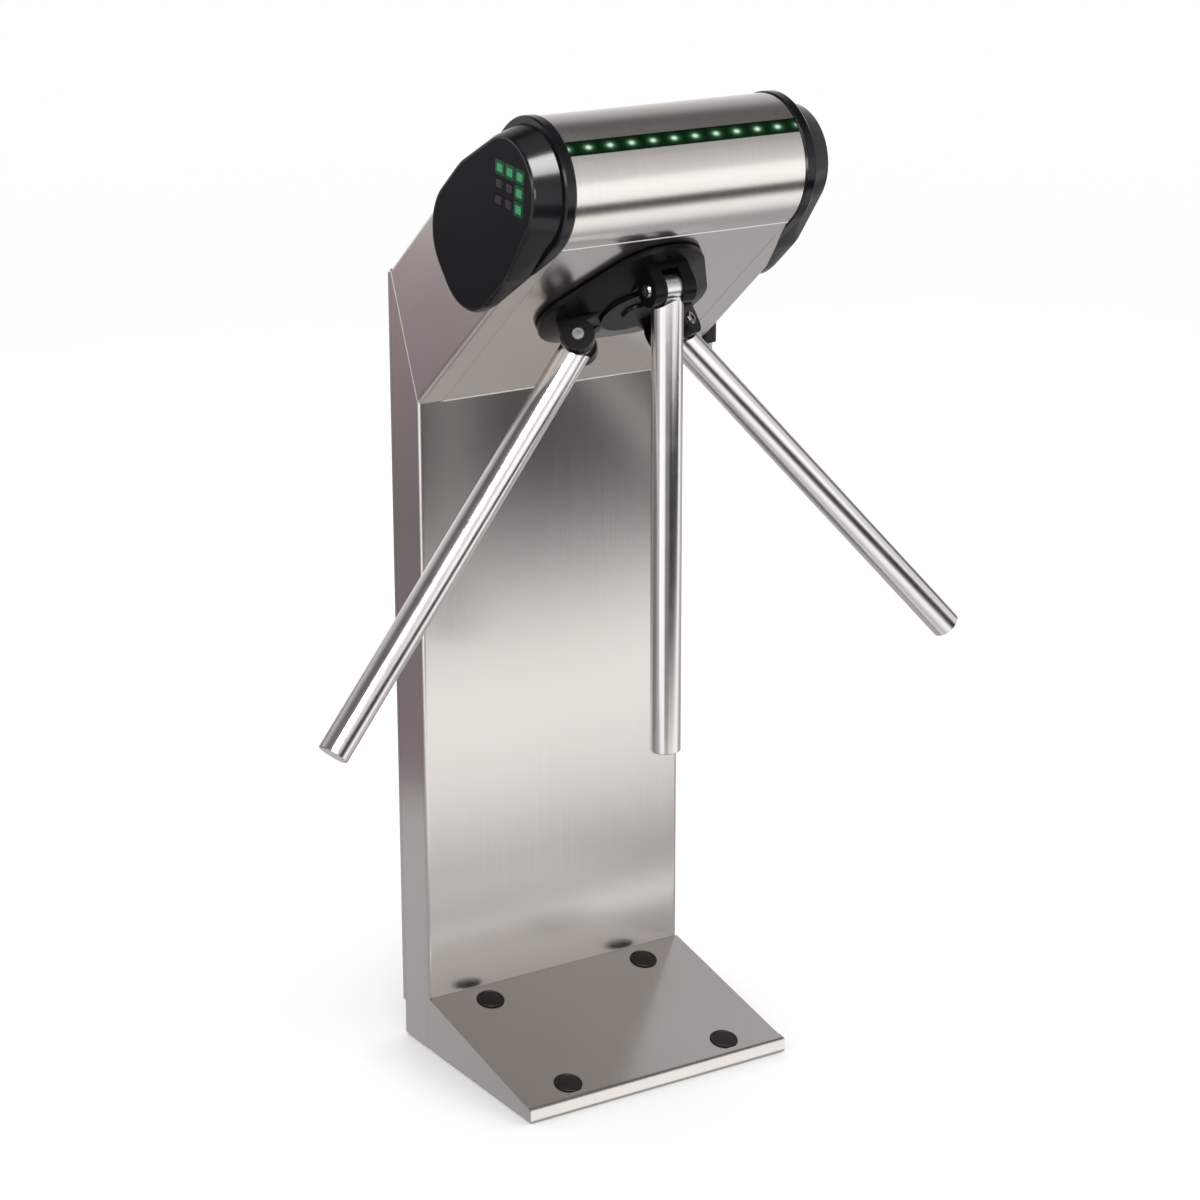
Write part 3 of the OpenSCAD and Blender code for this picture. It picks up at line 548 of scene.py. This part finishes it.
def access_plugs():
    """The four plugs in the foot, over the anchors."""
    bm = bmesh.new()
    foot_normal = Vector((0, -math.sin(FOOT_SLOPE), math.cos(FOOT_SLOPE)))
    for sx in (-1, 1):
        for sy in (-1, 1):
            y = sy * ANCHOR_GAP_Y / 2
            z = FOOT_BACK_H - (COLUMN_Y - y) * math.tan(FOOT_SLOPE)
            turned(bm, PLUG_OUTLINE, frame_at(Vector((sx * ANCHOR_GAP_X / 2, y, z)), foot_normal))
    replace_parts(piece("access_plugs", bm, plug_black), "foot_plugs")


def display(side, label):
    """The squares of a display. The lit ones, its top row and front column, make a corner arrow."""
    lit, dim = bmesh.new(), bmesh.new()
    turn = NECK_ANGLE + DOTS_ANGLE
    c, s = math.cos(turn), math.sin(turn)
    x = side * (CAP_FACE_X - SQUARE_SINK)
    for col in (-1, 0, 1):
        for row in (-1, 0, 1):
            u, v = col * DOT_PITCH_X, row * DOT_PITCH_Y
            point = on_neck(x, DOTS_ALONG + u * c - v * s, DOTS_OFF + u * s + v * c)
            place = frame_at(point, ACROSS * side, DOWN_NECK * c + OFF_NECK * s)
            is_lit = row == 1 or col == -1
            soft_square(lit if is_lit else dim, place, *SQUARE)
            if is_lit:
                soft_square(lit, place @ Matrix.Translation((0, 0, HALO_LIFT)), *HALO, middle=0)
    shown = piece("arrow_lit_" + label, lit, dot_rim)
    shown.data.materials.append(dot_lit)
    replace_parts(shown, "display_dots_" + label)
    unlit = piece("arrow_dim_" + label, dim, dot_dim_rim)
    unlit.data.materials.append(dot_dim)


def foot_nosing():
    """The sharp fold along the front of the foot cover, with its front flange."""
    nose_y = COLUMN_Y - FOOT_REACH
    rise = math.tan(FOOT_SLOPE)
    top = FOOT_FRONT_H + 0.0002
    bottom = 0.0012
    end_in = 0.0006
    profile = [
        (-0.0004, bottom),
        (-0.0005, bottom + 0.0006),
        (-0.0005, top - 0.0013),
        (-0.0003, top - 0.0005),
        (0.0003, top),
        (0.004, top + 0.0037 * rise),
        (0.009, top - 0.0001 + 0.0087 * rise),
        (0.009, top - 0.0022 + 0.0087 * rise),
        (0.0006, top - 0.0012),
        (0.0006, bottom),
    ]
    half = COLUMN_W / 2
    spans = [-half, -half + end_in] + [COLUMN_W * (i / 8 - 0.5) for i in range(1, 8)] + [half - end_in, half]
    bm = bmesh.new()
    closed_wall(bm, [[bm.verts.new((x, nose_y + y, z)) for y, z in profile] for x in spans])
    piece("foot_nosing", bm, foot_steel)


def rear_screws():
    """Eight low screws along the edges of the rear cover."""
    bm = bmesh.new()
    screw_x = COLUMN_W / 2 - 0.0165
    for side in (-1, 1):
        for z in (0.07, 0.33, 0.59, 0.83):
            place = frame_at(Vector((side * screw_x, REAR_Y - 0.0001, z)), BACKWARD)
            turned(bm, SCREW_OUTLINE, place, 24)
    piece("rear_screws", bm, plated)


def seam_lines():
    """Raised fold, seam and mitre lines that catch the light, in a paler steel that paints part of their
    highlight.
    """
    bm = bmesh.new()
    half = PANEL_W / 2

    fold = evenly(on_neck(-half, 0.006, -HEAD_R), on_neck(half, 0.006, -HEAD_R), 13)
    bead(bm, fold, 0.002, 0.0006, -OFF_NECK)

    seam_x = half + 0.0004
    seam = evenly(on_neck(seam_x, 0.012, -HEAD_R), on_neck(seam_x, NECK_LEN - 0.003, -HEAD_R), 11)
    bead(bm, seam, 0.0013, 0.0005, -OFF_NECK)

    mitre_y = COLUMN_Y - 0.0002
    mitre = evenly(Vector((-half, mitre_y, MITRE_H)), Vector((half, mitre_y, MITRE_H)), 13)
    bead(bm, mitre, 0.0026, 0.0008, Vector((0, -0.9, -0.4)))

    for side in (-1, 1):
        low = Vector((side * COLUMN_W / 2, COLUMN_Y + 0.0008, MITRE_H + 0.002))
        high = Vector((side * COLUMN_W / 2, column_high.y - 0.001, column_high.z - 0.00206))
        bead(bm, evenly(low, high, 7), 0.0016, 0.0004, ACROSS * side)
    piece("seam_lines", bm, seam_highlight_steel)


access_plugs()
display(-1, "left")
display(1, "right")
for side in ("left", "right"):
    smoothed("end_cap_" + side, "cap_" + side, cap_gloss, "frame", 31)
smoothed("hub_body", "hub_casting", hub_black, "rotor", 24)
foot_nosing()
rear_screws()
seam_lines()


# Studio

CAMERA_AT = Vector((-1.7461, -2.7303, 1.5452))
CAMERA_TURN = math.radians(-32.48)
CAMERA_DOWN = math.radians(17.58)
CAMERA_ROLL = math.radians(-0.09)
CAMERA_LENS = 97.33
CAMERA_SENSOR = 36

# Ways to show a card: in direct reflections only, or only in the reflection of a reflection
FIRST = "LESS_THAN"
LATER = "GREATER_THAN"

# The reach of the floor sheets' stops, to the back and to the front
SHEET_BACK = -1.0
SHEET_FRONT = 1.4

FLOOR_R = 40
FLOOR_FADE_R = 6.0


def even(value):
    """Stops for one brightness."""
    return [(0.0, value), (1.0, value)]


def grey(value):
    return value, value, value


def glow_by(n, share, stops, tint=(1, 1, 1)):
    """Light that follows the stops, which are (share, brightness)."""
    top = max(value for _, value in stops)
    tones = [(at, [value / top * c for c in tint]) for at, value in stops]
    glow = n.add("ShaderNodeEmission")
    n.link(n.ramp(share, tones), glow.inputs["Color"])
    glow.inputs["Strength"].default_value = top
    return glow.outputs["Emission"]


def only_reflected(obj):
    """Keeps a part of the studio out of all but reflections."""
    obj.visible_camera = False
    obj.visible_diffuse = False
    obj.visible_shadow = False
    obj.visible_transmission = False
    obj.visible_volume_scatter = False


def card(name, centre, facing, width, height, stops, tint=(1, 1, 1), order=None):
    """A studio card that only reflections see. Its stops go by shares of its height, taken upright."""
    mat, n = node_material(name)
    low = centre[2] - height / 2
    share = n.spread(n.axis(n.coordinates(), "Z"), 0.0, 1.0, low, low + height)
    shown = glow_by(n, share, stops, tint)
    if order:
        depth = n.add("ShaderNodeLightPath").outputs["Ray Depth"]
        clear = n.add("ShaderNodeBsdfTransparent").outputs["BSDF"]
        shown = n.mix(n.maths(order, depth, 1.5), clear, shown)
    n.show(shown)
    bm = bmesh.new()
    place = frame_at(Vector(centre), Vector(facing), UPWARD)
    for x, y in ((-1, -1), (1, -1), (1, 1), (-1, 1)):
        bm.verts.new(place @ Vector((x * height / 2, y * width / 2, 0)))
    bm.faces.new(bm.verts)
    only_reflected(mesh_object(name, bm, mat))


def card_around(name, psi, distance, centre_z, width, height, stops, tint=(1, 1, 1)):
    """A card that faces the arms. Psi is its angle to the right of the photograph's camera, in degrees."""
    turn = CAMERA_TURN + math.radians(psi)
    way = Vector((math.sin(turn), -math.cos(turn), 0))
    arms = Vector((0, -0.1, centre_z))
    card(name, arms + way * distance, -way, width, height, stops, tint)


def floor_sheet(name, low, high, z, stops):
    """The lit floor as reflections see it, graded from back to front by stops that paint its light and shade.
    """
    mat, n = node_material(name)
    forward = n.along(n.coordinates(), -BACKWARD)
    n.show(glow_by(n, n.spread(forward, 0.0, 1.0, SHEET_BACK, SHEET_FRONT), stops))
    bm = bmesh.new()
    corners = ((low[0], low[1]), (high[0], low[1]), (high[0], high[1]), (low[0], high[1]))
    bm.faces.new([bm.verts.new((x, y, z)) for x, y in corners])
    only_reflected(mesh_object(name, bm, mat))


def studio_world():
    """White to the camera and as soft light, and graded by height in reflections."""
    world = bpy.data.worlds.new("studio")
    bpy.context.scene.world = world
    world.use_nodes = True
    n = Nodes(world.node_tree, "ShaderNodeOutputWorld")
    dark_ring = (0.1, 0.095, 0.09)
    tones = [
        (0.0, grey(1.0)),
        (0.34, grey(0.72)),
        (0.55, grey(0.54)),
        (0.66, grey(0.38)),
        (0.76, dark_ring),
        (0.86, dark_ring),
        (0.93, grey(0.5)),
        (1.0, grey(0.75)),
    ]
    sky = n.add("ShaderNodeBackground")
    n.link(n.ramp(n.axis(n.coordinates("Generated"), "Z"), tones), sky.inputs["Color"])
    white = n.add("ShaderNodeBackground")
    white.inputs["Color"].default_value = (*grey(1.0), 1)
    path = n.add("ShaderNodeLightPath")
    plain = n.maths("MAXIMUM", path.outputs["Is Camera Ray"], path.outputs["Is Diffuse Ray"])
    n.show(n.mix(plain, sky.outputs["Background"], white.outputs["Background"]))


def softbox(name, at, target, size, power):
    """A rectangular soft lamp that metal doesn't mirror."""
    light = bpy.data.lights.new(name, "AREA")
    light.shape = "RECTANGLE"
    light.size, light.size_y = size
    light.energy = power
    obj = bpy.data.objects.new(name, light)
    obj.location = at
    obj.rotation_euler = (Vector(target) - Vector(at)).to_track_quat("-Z", "Y").to_euler()
    obj.visible_camera = False
    obj.visible_glossy = False
    bpy.context.scene.collection.objects.link(obj)


def pale_floor():
    """A pale floor that fades to pure white far from the part."""
    mat, n, shader, coords = material("floor", rough=0.9, gloss=0.0)
    tones = [(0.3, grey(0.945)), (0.7, grey(0.965))]
    n.link(n.ramp(n.noise(coords, 2.0), tones), shader.inputs["Base Color"])
    reach = n.add("ShaderNodeVectorMath", operation="LENGTH")
    n.link(coords, reach.inputs[0])
    share = n.maths("DIVIDE", reach.outputs["Value"], FLOOR_FADE_R)
    fade = n.ramp(share, [(0.2, grey(0.0)), (1.0, grey(1.0))], smooth=True)
    white = n.add("ShaderNodeEmission")
    white.inputs["Color"].default_value = (*grey(1.0), 1)
    n.show(n.mix(fade, shader.outputs["BSDF"], white.outputs["Emission"]))
    bm = bmesh.new()
    turned(bm, [(0, 0), (FLOOR_R, 0)], Matrix.Translation((0, 0, -0.0001)), 64)
    mesh_object("floor", bm, mat)


def photograph_camera():
    """The photograph's camera: turned, tipped down and then rolled."""
    level = Vector((math.sin(CAMERA_TURN), -math.cos(CAMERA_TURN), 0))
    back = level * math.cos(CAMERA_DOWN) + UPWARD * math.sin(CAMERA_DOWN)
    right = Vector((math.cos(CAMERA_TURN), math.sin(CAMERA_TURN), 0))
    up = back.cross(right)
    rolled_right = right * math.cos(CAMERA_ROLL) + up * math.sin(CAMERA_ROLL)
    rolled_up = up * math.cos(CAMERA_ROLL) - right * math.sin(CAMERA_ROLL)
    data = bpy.data.cameras.new("camera")
    data.sensor_width = CAMERA_SENSOR
    data.sensor_fit = "HORIZONTAL"
    data.lens = CAMERA_LENS
    camera = bpy.data.objects.new("camera", data)
    turn = Matrix((rolled_right, rolled_up, back)).transposed().to_4x4()
    camera.matrix_world = Matrix.Translation(CAMERA_AT) @ turn
    bpy.context.scene.collection.objects.link(camera)
    bpy.context.scene.camera = camera


# Bright and dark cards for the steel
card("low_flag", (0.68, -0.957, 0.3), (0, 1, 0), 1.7, 0.52,
     [(0.0, 1.1), (0.15, 0.75), (0.28, 0.3), (0.4, 0.08), (0.5, 0.0), (1.0, 0.0)])
card("front_box", (0.9, -1.36, 0.9), (-0.3, 1, 0), 1.5, 0.6, [(0.0, 1.3), (0.4, 1.4), (0.9, 1.3), (1.0, 1.0)])
card_around("left_strip", -42, 1.3, 0.4, 0.3, 0.8, even(1.5))
card_around("camera_flag", 14, 1.0, 0.31, 0.86, 0.62, [(0.0, 0.2), (0.8, 0.2), (1.0, 0.3)])
card_around("left_flag", -100, 1.0, 0.4, 1.1, 0.8, [(0.0, 0.24), (0.5, 0.17), (1.0, 0.36)], (1.1, 0.94, 0.97))
card("foot_card", (0.75, 0.6, 0.68), (-0.5, -0.6, -0.6), 0.6, 0.7, even(0.5))
card("foot_glow", (0.62, -0.56, 1.02), (-0.51, 0.54, -0.66), 1.1, 0.9, [(0.35, 0.56), (0.7, 0.34)],
     order=LATER)
card("arm_flag", (1.2, 0.15, 0.82), (-1, 0, 0), 0.5, 0.7, even(0.15))

# Lamps that the black caps mirror
card("cap_lamp", (-0.3, -1.36, 2.42), (0.06, 0.65, -0.76), 1.0, 1.2, [(0.0, 14.0), (0.5, 26.0), (1.0, 28.0)],
     order=FIRST)
card("rim_lamp_left", (-1.09, -1.22, 1.45), (0.63, 0.71, -0.31), 0.34, 0.5, even(6.0), order=FIRST)
card("rim_lamp_right", (-0.72, -1.37, 0.97), (0.58, 0.81, 0.0), 0.3, 0.4, even(9.0), order=FIRST)

# The floor in reflections, by metres to the front, with painted shade: darkest under the part, where its
# shadow falls, with two sheets close to the foot
FLOOR_LIGHT_AND_SHADE_BY_METRES = [(-1.0, 0.56), (-0.5, 0.52), (0.0, 0.44), (0.26, 0.44), (0.36, 0.62), (0.43, 0.86), (0.56, 1.06),
             (0.69, 1.2), (0.85, 1.27), (1.3, 1.3)]
painted_floor_stops = [((at - SHEET_BACK) / (SHEET_FRONT - SHEET_BACK), value) for at, value in FLOOR_LIGHT_AND_SHADE_BY_METRES]
# Painted shade: the floor in reflections is darkest under the part, where its shadow falls
floor_sheet("floor_sheet", (-4, -4), (4, 4), 0.0003, painted_floor_stops)
floor_sheet("nose_sheet", (-0.3, -0.17), (0.5, -0.11), 0.0006, even(1.18))
floor_sheet("column_sheet", (-0.1, -0.3), (0.28, -0.23), 0.0006, even(0.8))

studio_world()
softbox("key", (-1.6, -2.2, 2.6), (0, 0, 0.5), (1.6, 1.6), 22)
softbox("fill_right", (2.4, -1.2, 2.0), (0, 0, 0.5), (1.8, 1.8), 14)
softbox("rim_back", (0.6, 2.6, 2.2), (0, 0, 0.6), (1.8, 1.2), 10)
pale_floor()
photograph_camera()
bpy.context.scene.view_settings.view_transform = "Standard"
